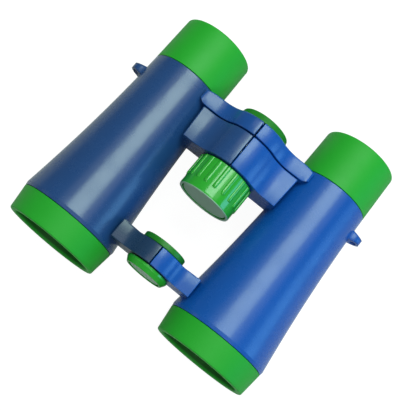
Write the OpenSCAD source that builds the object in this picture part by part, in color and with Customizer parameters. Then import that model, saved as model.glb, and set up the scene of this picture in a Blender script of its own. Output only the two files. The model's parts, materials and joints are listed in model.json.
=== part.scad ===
// Toy binoculars with a centre hinge, a focusing knob and sliding eyepieces.
// Sizes are in millimetres. The parts are drawn with Y along the barrels, from the
// front rims at 0 to the eyecups, and Z up from the barrel axes. Every node is then
// tipped and lifted together, so that the binoculars lie on their flares and eyecups.

/* [Barrels] */
// Distance between the two barrel axes with the hinge fully open
eye_spacing = 72; // [70:0.5:78]
// Length of a barrel shell
barrel_len = 72.3; // [71:0.1:80]
// Share of the barrel's flare that is straight, the rest being a trumpet curve
flare_bend = 0.31; // [0.1:0.01:1]
// Amount by which the barrel's front lip stands out from the objective ring
lip_step = 0.25; // [0.1:0.05:1]
// Length of the chamfer in front of the barrel's lip
lip_chamfer = 1.5; // [0.5:0.1:3]
// Wall of the barrel along the flare
barrel_wall = 1.9; // [1.5:0.1:2.4]
// Wall of the barrel round the objective ring's spigot
mouth_wall = 1.95; // [1.5:0.1:3]
// Wall of the barrel round the eyecup's spigot
socket_wall = 1.55; // [1.2:0.05:2.5]
// Length of the smooth bore in which the eyepiece tube slides
slide_bore_len = 24.4; // [23:0.1:27]

/* [Objectives] */
// Radius of the objective lens
lens_r = 17.1; // [16:0.1:19]
// Thickness of the objective lens at its edge
lens_edge = 2.2; // [1.5:0.1:3]
// Rise of each face of the objective lens
lens_rise = 1.1; // [0.5:0.1:1.8]
// Length of the green objective ring
ring_len = 10.1; // [9:0.1:12]
// Amount by which the objective ring narrows towards the front
ring_taper = 1.15; // [0.5:0.05:2]
// Rounding of the objective ring's front edges
ring_round = 0.6; // [0.2:0.1:1]
// Depth of the recess in front of the objective lens
recess_depth = 6.6; // [6:0.1:7]
// Thickness of the seat in front of the lens
lens_seat = 1.2; // [0.8:0.1:2]
// Width of the seat that the lens rests on
seat_width = 1.1; // [0.6:0.1:2]
// Wall of the objective ring's spigot
ring_spigot_wall = 1.75; // [1.2:0.05:2.5]
// Length of the objective ring's spigot inside the barrel
ring_spigot_len = 7; // [6.5:0.1:8.5]
// Length of the ring that holds the objective lens
keeper_len = 2.6; // [1.5:0.1:3]

/* [Eyepieces] */
// Outer radius of the sliding eyepiece tube
tube_r = 12.92; // [12.3:0.02:14]
// Wall of the eyepiece tube
tube_wall = 1.52; // [1.2:0.02:1.8]
// Length of the eyepiece tube
tube_len = 26; // [24:0.1:27]
// Thickness of the eye lens at its edge
eye_lens_edge = 4; // [3:0.1:5]
// Depth of the hollow in each face of the eye lens
eye_lens_dip = 1.3; // [0.5:0.1:1.4]
// Width of the shoulder that the eye lens rests on
eye_seat_width = 1.1; // [0.6:0.1:2]
// Thickness of the shoulder that the eye lens rests on
eye_seat = 1.2; // [0.8:0.1:2]
// Thickness of the ring that holds the eye lens
eye_keeper_len = 1.5; // [1:0.1:2]
// Length of the green eyecup
cup_len = 20.4; // [19:0.1:23]
// Amount by which the eyecup narrows towards the eye
cup_taper = 0.35; // [0:0.05:1]
// Rounding of the eyecup's outer end
cup_round = 1.1; // [0.4:0.1:1.6]
// Depth of the dish in the eyecup
dish_depth = 7.5; // [6.5:0.1:8.5]
// Width of the eyecup's flat rim
cup_rim = 1.9; // [1.7:0.1:2.4]
// Thickness of the wall between the dish and the eyepiece
dish_wall = 1.5; // [1:0.1:2]
// Radius of the opening in the middle of the dish
eye_hole_r = 10.3; // [9:0.1:10.8]
// Wall of the eyecup's spigot
cup_spigot_wall = 0.95; // [0.8:0.05:1.2]
// Length of the eyecup's spigot inside the barrel
cup_spigot_len = 5; // [4:0.1:6]
// Thickness of the light stop inside the barrel
stop_len = 1.3; // [0.8:0.1:2]
// Radius of the hole in the light stop
stop_hole_r = 9; // [7:0.1:11]

/* [Hinge] */
// Height of the hinge axis above the barrel axes
hinge_lift = 9.7; // [9:0.1:11]
// Angle through which the halves fold together
fold_angle = 50; // [30:1:56]
// Extra angle that the notch under the hinge leaves past the fold
fold_spare = 8; // [4:1:10]
// Radius of the focusing shaft, which is also the rear hinge pin
shaft_r = 3; // [2.5:0.05:3.4]
// Radius of the front hinge pin
front_pin_r = 2.5; // [2:0.05:3]
// Outer radius of the hinge rings on the rear bridge
rear_ring_r = 7; // [6.6:0.05:7.6]
// Outer radius of the hinge rings on the front bridge
front_ring_r = 6; // [5.2:0.1:6.6]

/* [Rear bridge] */
// Distance from the eyecup seam to the bridge plate
plate_setback = 0.5; // [0.4:0.1:2.4]
// Thickness of the bridge plate along the barrels
plate_len = 6.5; // [5:0.1:7]
// Distance from the barrel's axis to the plate's outer end
plate_inset = 10.4; // [9:0.1:12]
// Height of the plate's flat above the barrel axes
plate_top = 14.3; // [13.8:0.1:15]
// Radius of the plate round the hinge
plate_dome_r = 13.3; // [12.6:0.1:14]
// Thickness of the round boss behind the plate
boss_len = 0.2; // [0.2:0.1:1.2]
// Radius of the round boss behind the plate
boss_r = 11.4; // [11:0.1:12]
// Length of the bridge block along the barrels
block_len = 14; // [13.6:0.1:16]
// Distance from the barrel's axis to the block's outer end
block_inset = 13.1; // [12:0.1:14]
// Height of the block's flat above the barrel axes
block_top = 14.5; // [13.8:0.1:15]
// Radius of the block round the hinge
block_dome_r = 13.1; // [12.4:0.1:14]
// Height of the underside of the rear bridge above the barrel axes
rear_under = 1.2; // [0.6:0.1:1.4]
// Radius of the hollow sweep beside the rear dome
rear_sweep_r = 7.5; // [6:0.1:9]
// Gap between the block and the plate
groove = 0.35; // [0.2:0.05:0.6]

/* [Front bridge] */
// Distance from the objective seam to the front bridge
front_setback = 4.3; // [3.6:0.1:5]
// Length of the front bridge along the barrels
front_len = 7.6; // [7:0.1:9]
// Distance from the barrel's axis to the front bridge's outer end
front_inset = 17.8; // [16.6:0.1:18.4]
// Height of the front bridge's flat above the barrel axes
front_top = 13.9; // [13:0.1:14.6]
// Radius of the front bridge round the hinge
front_dome_r = 10.6; // [10:0.1:11.4]
// Height of the underside of the front bridge above the barrel axes
front_under = 2.8; // [2:0.1:3.2]
// Radius of the hollow sweep beside the front dome
front_sweep_r = 8; // [6:0.1:10]

/* [Caps] */
// Radius of the green cap behind the rear bridge, where it is widest
rear_cap_r = 11; // [10.6:0.1:11.3]
// Height of the green cap behind the rear bridge
rear_cap_len = 2.9; // [2.8:0.1:4]
// How much narrower the green cap is at its rear end
rear_cap_taper = 0.7; // [0:0.1:1.2]
// Wall round the hollow of the green cap
rear_cap_wall = 4; // [3.6:0.1:4.2]
// Thickness of the green cap's end
rear_cap_roof = 1.2; // [0.8:0.1:1.4]
// Chamfer on the rear edges of the two plain caps
plain_edge = 0.4; // [0.2:0.1:0.8]
// Radius of the caps on the front hinge
front_cap_r = 9.1; // [8.4:0.1:9.8]
// Height of the dished cap in front of the front hinge
front_cap_len = 2.9; // [2.5:0.1:3.6]
// Width of the slope round the front of the dished cap
slope_w = 1.2; // [0.6:0.1:1.4]
// Length of the slope round the front of the dished cap
slope_len = 1.9; // [1:0.1:2.2]
// Height of the plain cap behind the front hinge
back_cap_len = 2.3; // [2:0.1:3.4]
// Radius of the pale disc in the dished cap
cap_disc_r = 7; // [6:0.1:7.2]
// Thickness of the pale disc in the dished cap
cap_disc_len = 0.9; // [0.6:0.1:1.2]
// Depth at which the pale disc lies below the dished cap's rim
cap_disc_sink = 0.2; // [0.1:0.1:0.6]
// Cap wall left over each end of the front hinge pin
pin_cover = 0.6; // [0.4:0.1:1]
// Radius of the pegs that hold the rear cap
peg_r = 0.9; // [0.6:0.05:1.1]
// Wall left between the rear cap's hollow and its pegs
peg_wall = 0.7; // [0.5:0.1:1]
// Length of the pegs that hold the rear cap
peg_len = 3; // [2:0.1:3.4]
// Angle of each peg above or below the line across the hinge
peg_angle = 38; // [20:1:45]

/* [Focus] */
// Radius of the focusing knob over its ribs
knob_r = 12; // [11.4:0.1:12.6]
// Length of the focusing knob
knob_len = 14; // [13:0.1:16]
// Length of the knob's plain band in front of the ribs
knob_band = 3.8; // [3:0.1:5]
// Number of ribs round the knob
ribs = 18; // [12:1:20]
// Width of a rib
rib_w = 1.8; // [1.4:0.1:2.2]
// Height of a rib
rib_h = 0.5; // [0.2:0.05:0.6]
// Angle at which the first rib stands from straight up
rib_turn = 2.2; // [0:0.2:20]
// Radius of the pale disc in the knob
knob_disc_r = 9.9; // [9:0.1:10.4]
// Thickness of the pale disc in the knob
knob_disc_len = 1.2; // [0.8:0.1:1.6]
// Depth at which the pale disc lies below the knob's rim
knob_disc_sink = 0.2; // [0.1:0.1:0.5]
// Chamfer on the knob's outer edges
knob_edge = 0.5; // [0.2:0.1:0.8]
// Thickness of the knob between its disc and its shaft
knob_web = 2; // [1:0.1:3]
// Radius of the clip that holds the shaft
clip_r = 5.2; // [4.6:0.1:6]
// Thickness of the clip that holds the shaft
clip_len = 1; // [0.6:0.1:1.4]
// Length of the shaft past its clip
shaft_tip = 0.5; // [0.3:0.1:0.8]
// Travel of the eyepieces each way from the middle
travel = 1.5; // [1:0.1:1.7]
// Radius of the focusing nut's middle
nut_r = 4.4; // [4:0.05:4.8]
// Radius of the focusing nut's flanges
nut_flange_r = 6; // [5.6:0.05:6.1]
// Thickness of each flange of the focusing nut
nut_flange = 0.8; // [0.6:0.05:1]
// Thickness of the arms that carry the eyepiece tubes
arm_t = 1.2; // [1:0.05:1.3]
// Width of the arms that carry the eyepiece tubes
arm_w = 5; // [4:0.1:5.4]

/* [Strap lugs] */
// Distance from the eyecup seam to the front face of the strap lug
lug_setback = 9.8; // [8:0.1:11]
// Thickness of the strap lug along the barrel
lug_len = 3.4; // [2.6:0.1:4.4]
// Distance that the strap lug stands out from the barrel
lug_stand = 4.5; // [3.8:0.1:4.8]
// Radius of the strap lug's rounded tip
lug_tip_r = 3.4; // [3:0.1:3.6]
// Radius of the hole for the strap
lug_hole_r = 1.3; // [1:0.05:1.5]
// Distance from the strap lug's tip to the middle of its hole
lug_hole_inset = 2.3; // [2.1:0.1:2.6]
// Height of the strap lug's middle above the barrel axis
lug_lift = 1; // [-2:0.5:3]
// Radius of the peg that holds the strap lug in the barrel's wall
lug_peg_r = 1.5; // [1:0.1:1.6]

/* [Screws] */
// Radius of the bridge screws' shanks
screw_r = 1.2; // [1:0.05:1.4]
// Length of the bridge screws' shanks
screw_len = 6; // [5:0.1:6.5]
// Radius of the bridge screws' heads
screw_head_r = 2; // [1.8:0.1:2.3]
// Height of the bridge screws' heads
screw_head_len = 1.2; // [0.8:0.1:1.4]
// Width of the slots in the screw heads
screw_slot_w = 0.5; // [0.3:0.1:0.8]
// Depth of the slots in the screw heads
screw_slot_len = 0.5; // [0.3:0.1:0.6]
// Barrel wall left under the screw heads
screw_seat = 1.6; // [1.4:0.1:2]
// Height of the rear screws above the underside of the rear bridge
rear_screw_lift = 5; // [4:0.1:7]
// Height of the front screws above the underside of the front bridge
front_screw_lift = 4.3; // [3.4:0.1:6]

/* [Fits] */
// Running clearance round the hinge pins and the nut, on the radius
run_fit = 0.05; // [0.02:0.01:0.08]
// Sliding clearance round the eyepiece tubes, on the radius
slide_fit = 0.08; // [0.04:0.01:0.1]
// Clearance round a piece that is pressed or glued in
close_fit = 0.05; // [0.02:0.01:0.08]
// Clearance between pieces that turn or slide past each other
free_gap = 0.3; // [0.2:0.05:0.35]
// Clearance between faces that turn against each other or lie in a shallow recess
side_fit = 0.1; // [0.05:0.01:0.15]
// Gap between a bridge's foot and the barrel that it is screwed to
foot_gap = 0.1; // [0.05:0.01:0.2]
// Gap between the halves where they meet on top of the hinge
seam_gap = 0.4; // [0.3:0.05:0.6]

/* [Hidden] */

$fn = 96;
left = 1;
right = -1;
// Length by which a cutting shape runs past what it cuts
over = 1;
flare_steps = 18;
round_steps = 6;
lens_steps = 8;
blue = [0.13, 0.25, 0.58];
green = [0.15, 0.62, 0.2];
grey_green = [0.45, 0.55, 0.45];
black = [0.08, 0.08, 0.09];
steel = [0.7, 0.71, 0.73];
glass = [0.75, 0.85, 0.9, 0.5];

// Stations along the barrels
front_seam_y = ring_len;
lip_y = front_seam_y + lip_chamfer;
rear_seam_y = front_seam_y + barrel_len;
end_y = rear_seam_y + cup_len;

// Radii that stack up from the lenses outwards
spigot_bore_r = lens_r + close_fit;
spigot_r = spigot_bore_r + ring_spigot_wall;
mouth_r = spigot_r + close_fit;
ring_rear_r = mouth_r + mouth_wall;
ring_front_r = ring_rear_r - ring_taper;
lip_r = ring_rear_r + lip_step;
slide_bore_r = tube_r + slide_fit;
cup_bore_r = slide_bore_r + free_gap;
cup_spigot_r = cup_bore_r + cup_spigot_wall;
socket_r = cup_spigot_r + close_fit;
rear_r = socket_r + socket_wall;
cup_end_r = rear_r - cup_taper;
tube_bore_r = tube_r - tube_wall;
eye_lens_r = tube_bore_r - close_fit;

// Stations inside the barrels
mouth_end_y = front_seam_y + ring_spigot_len + free_gap;
socket_y = rear_seam_y - cup_spigot_len - free_gap;
bore_y = rear_seam_y - slide_bore_len;
lens_y = recess_depth + lens_seat;
keeper_y = lens_y + lens_edge + close_fit;
dish_y = end_y - dish_depth;
tube_end_y = dish_y - dish_wall - travel - 2 * free_gap;
tube_y = tube_end_y - tube_len;
eye_keeper_y = tube_end_y - eye_keeper_len - free_gap;
eye_lens_y = eye_keeper_y - eye_lens_edge - close_fit;

// Stations of the rear bridge and the knob
half = eye_spacing / 2;
axis_gap = sqrt(half * half + hinge_lift * hinge_lift);
arm_tilt = atan2(hinge_lift, half);
plate_end_y = rear_seam_y - plate_setback;
plate_y = plate_end_y - plate_len;
block_end_y = plate_y - groove;
block_y = block_end_y - block_len;
boss_end_y = plate_end_y + boss_len;
knob_end_y = block_y - free_gap;
knob_y = knob_end_y - knob_len;
nut_len = 2 * nut_flange + 2 * arm_t + 3 * side_fit;
pocket_len = nut_len + 2 * travel + 2 * free_gap;
pocket_y = block_end_y - pocket_len;
pocket_r = nut_flange_r + 2 * free_gap;
nut_y = pocket_y + free_gap + travel;
arm_y_left = nut_y + nut_flange + side_fit;
arm_y_right = arm_y_left + arm_t + side_fit;
arm_end_y = arm_y_right + arm_t;
block_mid_y = (block_y + pocket_y) / 2;
plate_mid_y = plate_y + plate_len / 2;
shaft_bore_r = shaft_r + run_fit;
channel_w = arm_w + 2 * free_gap;

// Stations of the front bridge and the caps
front_y = front_seam_y + front_setback;
front_end_y = front_y + front_len;
front_mid_y = front_y + front_len / 2;
rear_cap_y = boss_end_y + free_gap;
rear_cap_end_y = rear_cap_y + rear_cap_len;
cap_hollow_r = rear_cap_r - rear_cap_wall;
peg_ring_r = cap_hollow_r + peg_r + peg_wall;
clip_y = boss_end_y + side_fit;
shaft_end_y = clip_y + clip_len + shaft_tip;
knob_floor_y = knob_y + knob_disc_sink + knob_disc_len;
shaft_y = knob_floor_y + knob_web;
front_cap_y = front_y - front_cap_len - free_gap;
cap_floor_y = front_cap_y + cap_disc_sink + cap_disc_len;
cap_boss_r = front_ring_r - free_gap;
back_cap_y = front_end_y + free_gap;
back_cap_end_y = back_cap_y + back_cap_len;
front_pin_y = cap_floor_y + pin_cover;
front_pin_end_y = back_cap_end_y - pin_cover;

// Screws stand across the barrel wall, one in each foot of a bridge
rear_screw_z = rear_under + rear_screw_lift;
rear_screw_y = block_mid_y;
front_screw_z = front_under + front_screw_lift;
front_screw_y = max(front_mid_y, mouth_end_y + screw_head_r + free_gap);

// Strap lug
lug_y = rear_seam_y - lug_setback;
lug_end_y = lug_y + lug_len;
lug_mid_y = lug_y + lug_len / 2;

// The binoculars rest on the lips of the flares and on the eyecups' rounded ends
rest_dy = end_y - cup_round - lip_y;
rest_dz = lip_r - (cup_end_r - cup_round);
tip = atan2(rest_dz, rest_dy) - asin(cup_round / sqrt(rest_dy * rest_dy + rest_dz * rest_dz));
lift = lip_y * sin(tip) + lip_r * cos(tip);
back_y = (end_y - cup_round) * cos(tip) + (cup_end_r - cup_round) * sin(tip) + cup_round;
nose_y = ring_round * cos(tip) - (ring_front_r - ring_round) * sin(tip) - ring_round;
mid_y = (back_y + nose_y) / 2;

// Outer radius of a barrel at a station along it
function barrel_r(y) =
    let (t = (rear_seam_y - y) / (rear_seam_y - lip_y))
    rear_r + (lip_r - rear_r) * (flare_bend * t + (1 - flare_bend) * t * t);

// Distance from the barrel's axis to the tip of its strap lug
lug_tip_x = barrel_r(lug_mid_y) + lug_stand;

// Outline points of the flare from one station back to another, moved out by grow
function flare_line(y0, y1, grow) = [
    for (i = [0 : flare_steps])
        let (y = y0 + (y1 - y0) * i / flare_steps)
        [barrel_r(y) + grow, y]
];

// Points of a quarter round about a centre, from one angle to another
function arc(cx, cy, r, a0, a1) = [
    for (i = [0 : round_steps])
        let (a = a0 + (a1 - a0) * i / round_steps)
        [cx + r * cos(a), cy + r * sin(a)]
];

// Outline of a lens face from its middle to its rim, with a shallow even curve
function lens_face(r, rise, y) = [
    for (i = [0 : lens_steps])
        let (t = i / lens_steps)
        [r * t, y + rise * (1 - t * t)]
];

function reverse(points) = [for (i = [len(points) - 1 : -1 : 0]) points[i]];

// The lying pose, shared by every node
module lying() {
    translate([0, -mid_y, lift]) rotate([-tip, 0, 0]) children();
}

// Pieces are drawn on the left, which is +X, and mirrored for the right
module on_side(side) {
    if (side > 0) children();
    else mirror([1, 0, 0]) children();
}

// A flat outline in X and Z, drawn out along Y
module along_y(y0, y1) {
    translate([0, y1, 0]) rotate([90, 0, 0]) linear_extrude(y1 - y0) children();
}

// A round bar along Y
module bar_y(r, y0, y1, x = 0, z = 0) {
    translate([x, y0, z]) rotate([-90, 0, 0]) cylinder(r = r, h = y1 - y0);
}

// An outline of radius and Y, turned about the barrel's axis
module turned() {
    translate([half, 0, 0]) rotate([-90, 0, 0]) rotate_extrude() children();
}

// An outline of radius and Y, turned about the hinge
module turned_hinge() {
    translate([0, 0, hinge_lift]) rotate([-90, 0, 0]) rotate_extrude() children();
}

// A washer outline between two radii and two stations
module washer_outline(r0, r1, y0, y1) {
    translate([r0, y0]) square([r1 - r0, y1 - y0]);
}

// A box that points from the hinge to the barrel's axis
module toward_barrel(x0, x1, y0, y1, w) {
    translate([0, y0, hinge_lift]) rotate([0, arm_tilt, 0])
        translate([x0, 0, -w / 2]) cube([x1 - x0, y1 - y0, w]);
}

// The space of a barrel, used to seat the bridges on it
module barrel_space(grow) {
    turned() polygon(concat(
        [[0, lip_y], [barrel_r(lip_y) + grow, lip_y]],
        flare_line(lip_y, rear_seam_y, grow),
        [[0, rear_seam_y]]
    ));
}

module barrel_shell(side) {
    color(blue) lying() on_side(side) difference() {
        turned() polygon(concat(
            [[mouth_r, front_seam_y], [ring_rear_r, front_seam_y]],
            flare_line(lip_y, rear_seam_y, 0),
            [[socket_r, rear_seam_y], [socket_r, socket_y], [slide_bore_r, socket_y],
                [slide_bore_r, bore_y]],
            flare_line(bore_y, mouth_end_y, -barrel_wall),
            [[mouth_r, mouth_end_y]]
        ));
        lug_peg(lug_peg_r + close_fit, slide_bore_r - over, lug_tip_x);
        toward_barrel(axis_gap / 3, axis_gap - tube_bore_r, arm_y_left - travel - free_gap,
            arm_end_y + travel + free_gap, channel_w);
        screw_hole(rear_screw_y, rear_screw_z, screw_x(rear_screw_y, rear_screw_z));
        screw_hole(front_screw_y, front_screw_z, screw_x(front_screw_y, front_screw_z));
    }
}

// A tab with a rounded tip and a hole for the strap, pegged into the barrel's wall
module strap_lug(side) {
    root_x = slide_bore_r + free_gap;
    round_x = lug_tip_x - lug_tip_r;
    color(blue) lying() on_side(side) difference() {
        union() {
            difference() {
                along_y(lug_y, lug_end_y) {
                    translate([half + round_x, lug_lift]) circle(lug_tip_r);
                    translate([half + root_x, lug_lift - lug_tip_r])
                        square([round_x - root_x, 2 * lug_tip_r]);
                }
                barrel_space(close_fit);
            }
            lug_peg(lug_peg_r, root_x, barrel_r(lug_mid_y) + free_gap);
        }
        bar_y(lug_hole_r, lug_y - over, lug_end_y + over, half + lug_tip_x - lug_hole_inset,
            lug_lift);
    }
}

// The peg of the strap lug, between two distances from the barrel's axis
module lug_peg(r, x0, x1) {
    translate([half + x0, lug_mid_y, lug_lift]) rotate([0, 90, 0]) cylinder(r = r, h = x1 - x0);
}

// Place of the seat of a screw head, measured from the hinge, where the wall is thin enough
function screw_x(y, z) = half - sqrt(pow(barrel_r(y), 2) - z * z) + screw_seat;

// The hole and the flat seat of a screw in the barrel's wall
module screw_hole(y, z, x) {
    translate([x - screw_len - free_gap, y, z]) rotate([0, 90, 0])
        cylinder(r = screw_r + close_fit, h = screw_len + free_gap + over);
    translate([x, y, z]) rotate([0, 90, 0])
        cylinder(r = screw_head_r + close_fit, h = lip_r - slide_bore_r);
}

module bridge_screw(side, y, z) {
    x = screw_x(y, z);
    color(steel) lying() on_side(side) {
        translate([x - screw_len, y, z]) rotate([0, 90, 0]) cylinder(r = screw_r, h = screw_len);
        translate([x, y, z]) rotate([0, 90, 0]) difference() {
            cylinder(r = screw_head_r, h = screw_head_len);
            translate([-screw_slot_w / 2, -screw_head_r, screw_head_len - screw_slot_len])
                cube([screw_slot_w, 2 * screw_head_r, screw_slot_len + over]);
        }
    }
}

module objective_ring(side) {
    color(green) lying() on_side(side) turned() polygon(concat(
        [[spigot_bore_r, ring_round]],
        arc(spigot_bore_r + ring_round, ring_round, ring_round, 180, 270),
        arc(ring_front_r - ring_round, ring_round, ring_round, 270, 360),
        [[ring_rear_r, front_seam_y], [spigot_r, front_seam_y],
            [spigot_r, front_seam_y + ring_spigot_len],
            [spigot_bore_r, front_seam_y + ring_spigot_len],
            [spigot_bore_r, lens_y], [spigot_bore_r - seat_width, lens_y],
            [spigot_bore_r - seat_width, recess_depth], [spigot_bore_r, recess_depth]]
    ));
}

module objective_lens(side) {
    flat = seat_width + free_gap;
    color(glass) lying() on_side(side) turned() polygon(concat(
        lens_face(lens_r - flat, -lens_rise, lens_y),
        [[lens_r, lens_y], [lens_r, lens_y + lens_edge]],
        reverse(lens_face(lens_r - flat, lens_rise, lens_y + lens_edge))
    ));
}

module lens_keeper(side) {
    color(black) lying() on_side(side) turned()
        washer_outline(lens_r - seat_width, lens_r, keeper_y, keeper_y + keeper_len);
}

module light_stop(side) {
    stop_r = barrel_r(bore_y) - barrel_wall - close_fit;
    color(black) lying() on_side(side) turned()
        washer_outline(stop_hole_r, stop_r, bore_y - stop_len, bore_y);
}

module eyecup(side) {
    color(green) lying() on_side(side) turned() polygon(concat(
        [[cup_bore_r, rear_seam_y - cup_spigot_len], [cup_spigot_r, rear_seam_y - cup_spigot_len],
            [cup_spigot_r, rear_seam_y], [rear_r, rear_seam_y]],
        arc(cup_end_r - cup_round, end_y - cup_round, cup_round, 0, 90),
        [[cup_end_r - cup_rim, end_y], [eye_hole_r, dish_y],
            [eye_hole_r, dish_y - dish_wall], [cup_bore_r, dish_y - dish_wall]]
    ));
}

module eyepiece_tube(side) {
    color(black) lying() on_side(side) difference() {
        turned() polygon([
            [tube_r, tube_y], [tube_r, tube_end_y], [tube_bore_r, tube_end_y],
            [tube_bore_r, eye_lens_y], [tube_bore_r - eye_seat_width, eye_lens_y],
            [tube_bore_r - eye_seat_width, eye_lens_y - eye_seat],
            [tube_bore_r, eye_lens_y - eye_seat], [tube_bore_r, tube_y]
        ]);
        arm_y = side == left ? arm_y_left : arm_y_right;
        toward_barrel(axis_gap / 3, axis_gap - tube_bore_r / 2, arm_y - close_fit,
            arm_y + arm_t + close_fit, arm_w + 2 * close_fit);
    }
}

module eye_lens(side) {
    flat = eye_seat_width + side_fit;
    color(glass) lying() on_side(side) turned() polygon(concat(
        lens_face(eye_lens_r - flat, eye_lens_dip, eye_lens_y),
        [[eye_lens_r, eye_lens_y], [eye_lens_r, eye_lens_y + eye_lens_edge]],
        reverse(lens_face(eye_lens_r - flat, -eye_lens_dip, eye_lens_y + eye_lens_edge))
    ));
}

module eye_keeper(side) {
    color(black) lying() on_side(side) turned()
        washer_outline(eye_lens_r - eye_seat_width, eye_lens_r, eye_keeper_y,
            eye_keeper_y + eye_keeper_len);
}

// An arm from the focusing nut, through the bridge, into the eyepiece tube
module focus_arm(side) {
    y0 = side == left ? arm_y_left : arm_y_right;
    color(black) lying() on_side(side) difference() {
        union() {
            bar_y(nut_flange_r, y0, y0 + arm_t, 0, hinge_lift);
            toward_barrel(0, axis_gap - tube_bore_r - close_fit, y0, y0 + arm_t, arm_w);
        }
        bar_y(nut_r + run_fit, y0 - over, y0 + arm_t + over, 0, hinge_lift);
    }
}

module focus_nut() {
    color(steel) lying() turned_hinge() polygon([
        [shaft_bore_r, nut_y], [nut_flange_r, nut_y], [nut_flange_r, nut_y + nut_flange],
        [nut_r, nut_y + nut_flange], [nut_r, nut_y + nut_len - nut_flange],
        [nut_flange_r, nut_y + nut_len - nut_flange], [nut_flange_r, nut_y + nut_len],
        [shaft_bore_r, nut_y + nut_len]
    ]);
}

// Outline of a bridge's half: a dome, a hollow sweep and a flat over the barrel
module wing_outline(dome_r, reach, top, under, sweep_r) {
    cz = top + sweep_r;
    cx = sqrt(pow(dome_r + sweep_r, 2) - pow(cz - hinge_lift, 2));
    translate([0, hinge_lift]) circle(dome_r);
    translate([0, under]) square([reach, top - under]);
    difference() {
        polygon([[0, hinge_lift], [cx, top], [cx, cz]]);
        translate([cx, cz]) circle(sweep_r);
    }
}

// The side of the seam that a half may fill, with the notch for the fold under the hinge
module half_sector() {
    far = eye_spacing;
    notch = fold_angle / 2 + fold_spare / 2;
    polygon([
        [seam_gap / 2, hinge_lift + far], [far, hinge_lift + far], [far, hinge_lift - far],
        [far * tan(notch), hinge_lift - far], [seam_gap / 2, hinge_lift]
    ]);
}

// A bridge's half between two stations, seated on its barrel
module wing(y0, y1, dome_r, reach, top, under, sweep_r) {
    difference() {
        along_y(y0, y1) intersection() {
            wing_outline(dome_r, reach, top, under, sweep_r);
            half_sector();
        }
        barrel_space(foot_gap);
    }
}

// Room for the other half's hinge ring, and this half's own ring
module with_ring(y0, mid, y1, front, ring_r) {
    own0 = front ? y0 : mid + free_gap / 2;
    own1 = front ? mid - free_gap / 2 : y1;
    room0 = front ? own1 : y0 - over;
    room1 = front ? y1 + free_gap : own0;
    difference() {
        children();
        bar_y(ring_r + free_gap, room0, room1, 0, hinge_lift);
    }
    bar_y(ring_r, own0, own1, 0, hinge_lift);
}

module bridge_block(side) {
    color(blue) lying() on_side(side) difference() {
        with_ring(block_y, block_mid_y, pocket_y, side == left, rear_ring_r)
            wing(block_y, block_end_y, block_dome_r, half - block_inset, block_top, rear_under,
                rear_sweep_r);
        bar_y(shaft_bore_r, block_y - over, pocket_y + over, 0, hinge_lift);
        bar_y(pocket_r, pocket_y, block_end_y + over, 0, hinge_lift);
        toward_barrel(0, axis_gap, pocket_y, block_end_y + over, channel_w);
        screw_hole(rear_screw_y, rear_screw_z, screw_x(rear_screw_y, rear_screw_z));
    }
}

module bridge_plate(side) {
    color(blue) lying() on_side(side) difference() {
        with_ring(plate_y, plate_mid_y, boss_end_y, side == right, rear_ring_r) {
            wing(plate_y, plate_end_y, plate_dome_r, half - plate_inset, plate_top, rear_under,
                rear_sweep_r);
            along_y(plate_end_y, boss_end_y) intersection() {
                translate([0, hinge_lift]) circle(boss_r);
                half_sector();
            }
        }
        bar_y(shaft_bore_r, plate_y - over, boss_end_y + over, 0, hinge_lift);
        if (side == left) cap_pegs(peg_r + close_fit, peg_len + free_gap);
    }
}

// The pegs behind the left half, measured from the hinge towards the left barrel
module cap_pegs(r, len) {
    for (a = [-peg_angle, peg_angle])
        bar_y(r, rear_cap_y - len, rear_cap_y + over, peg_ring_r * cos(a),
            hinge_lift + peg_ring_r * sin(a));
}

module front_arm(side) {
    color(blue) lying() on_side(side) difference() {
        with_ring(front_y, front_mid_y, front_end_y, side == left, front_ring_r)
            wing(front_y, front_end_y, front_dome_r, half - front_inset, front_top, front_under,
                front_sweep_r);
        bar_y(front_pin_r + run_fit, front_y - over, front_end_y + over, 0, hinge_lift);
        screw_hole(front_screw_y, front_screw_z, screw_x(front_screw_y, front_screw_z));
    }
}

module focus_shaft() {
    color(steel) lying() bar_y(shaft_r, shaft_y, shaft_end_y, 0, hinge_lift);
}

module shaft_clip() {
    color(steel) lying() turned_hinge()
        washer_outline(shaft_r + close_fit, clip_r, clip_y, clip_y + clip_len);
}

module focus_knob() {
    seat_r = knob_disc_r + side_fit;
    drum_r = knob_r - rib_h;
    color(green) lying() difference() {
        union() {
            turned_hinge() polygon([
                [0, knob_floor_y], [seat_r, knob_floor_y], [seat_r, knob_y],
                [drum_r - knob_edge, knob_y], [drum_r, knob_y + knob_edge],
                [drum_r, knob_end_y - knob_edge], [drum_r - knob_edge, knob_end_y],
                [0, knob_end_y]
            ]);
            for (i = [0 : ribs - 1])
                translate([0, 0, hinge_lift]) rotate([0, rib_turn + i * 360 / ribs, 0]) rib();
        }
        bar_y(shaft_r + close_fit, shaft_y, knob_end_y + over, 0, hinge_lift);
    }
}

// One rib with a round front end, rooted in the knob's drum
module rib() {
    start_y = knob_y + knob_band + rib_w / 2;
    root_z = knob_r - rib_h - 0.6;
    translate([0, start_y, root_z]) cylinder(d = rib_w, h = rib_h + 0.6, $fn = 24);
    translate([-rib_w / 2, start_y, root_z])
        cube([rib_w, knob_end_y - knob_edge / 2 - start_y, rib_h + 0.6]);
}

module knob_disc() {
    color(grey_green) lying()
        bar_y(knob_disc_r, knob_y + knob_disc_sink, knob_floor_y, 0, hinge_lift);
}

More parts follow.
